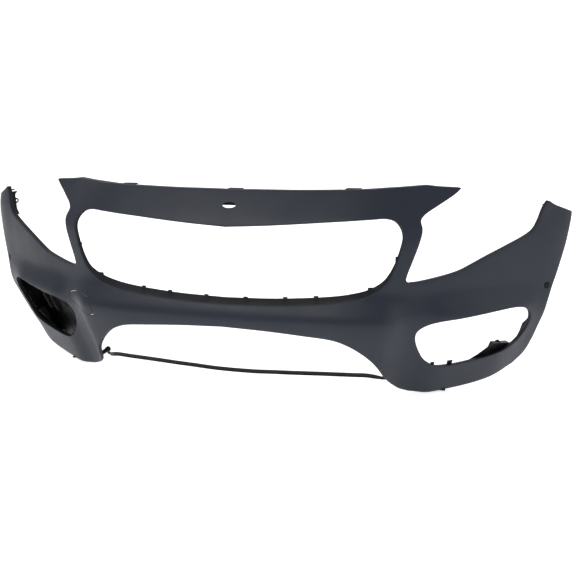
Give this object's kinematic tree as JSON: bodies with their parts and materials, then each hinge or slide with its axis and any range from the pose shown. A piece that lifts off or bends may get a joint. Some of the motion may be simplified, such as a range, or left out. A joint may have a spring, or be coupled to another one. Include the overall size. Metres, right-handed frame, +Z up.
{
  "type": "bumper cover",
  "caption": "Primed front bumper cover with one wide grille opening, two fog lamp openings, headlamp notches, a lower crossbar and a hinged tow-eye cover.",
  "frame": {"origin": "middle of the centre header lug's top face, where the cover bolts to the front panel", "axes": "+X to the car's left, +Y rearward, +Z up"},
  "size_m": [1.764, 0.3754, 0.567],
  "materials": {
    "primer": "matte dark blue-grey primer",
    "black_plastic": "moulded black, fine grain",
    "sensor_plastic": "smooth satin black",
    "zinc_steel": "zinc plated"
  },
  "bodies": {
    "bumper": {"bumper_skin": "primer", "lower_crossbar": "black_plastic", "fog_air_guide_right": "black_plastic", "fender_bracket_left": "black_plastic", "fog_outer_bracket_left": "black_plastic", "fog_lower_bracket_left": "black_plastic", "sensor_holder_left": "black_plastic", "parking_sensor_left": "sensor_plastic", "arch_clip_left_1": "zinc_steel", "arch_clip_left_2": "zinc_steel", "arch_clip_left_3": "zinc_steel", "crossbar_rivet_left": "black_plastic", "fender_screw_upper_left": "zinc_steel", "fender_screw_lower_left": "zinc_steel", "fog_outer_screw_left": "zinc_steel", "fog_lower_screw_outer_left": "zinc_steel", "fog_lower_screw_inner_left": "zinc_steel", "fender_bracket_right": "black_plastic", "fog_outer_bracket_right": "black_plastic", "fog_lower_bracket_right": "black_plastic", "sensor_holder_right": "black_plastic", "parking_sensor_right": "sensor_plastic", "arch_clip_right_1": "zinc_steel", "arch_clip_right_2": "zinc_steel", "arch_clip_right_3": "zinc_steel", "crossbar_rivet_right": "black_plastic", "fender_screw_upper_right": "zinc_steel", "fender_screw_lower_right": "zinc_steel", "fog_outer_screw_right": "zinc_steel", "fog_lower_screw_outer_right": "zinc_steel", "fog_lower_screw_inner_right": "zinc_steel"},
    "tow_eye_cover": {"tow_eye_cover": "primer"},
    "crossbar_rivet_pin_left": {"crossbar_rivet_pin_left": "black_plastic"},
    "crossbar_rivet_pin_right": {"crossbar_rivet_pin_right": "black_plastic"}
  },
  "joints": [
    {"name": "tow_eye_cover_hinge", "type": "hinge", "parent": "bumper", "child": "tow_eye_cover", "pos_m": [-0.50022, -0.05253, -0.3222], "axis": [0, 0, -1], "range_deg": [0, 95]},
    {"name": "crossbar_pin_left_slide", "type": "slide", "parent": "bumper", "child": "crossbar_rivet_pin_left", "axis": [-0.4801, 0.8098, 0.3371], "range_m": [0, 0.008]},
    {"name": "crossbar_pin_right_slide", "type": "slide", "parent": "bumper", "child": "crossbar_rivet_pin_right", "axis": [0.4801, 0.8098, 0.3371], "range_m": [0, 0.008]}
  ]
}
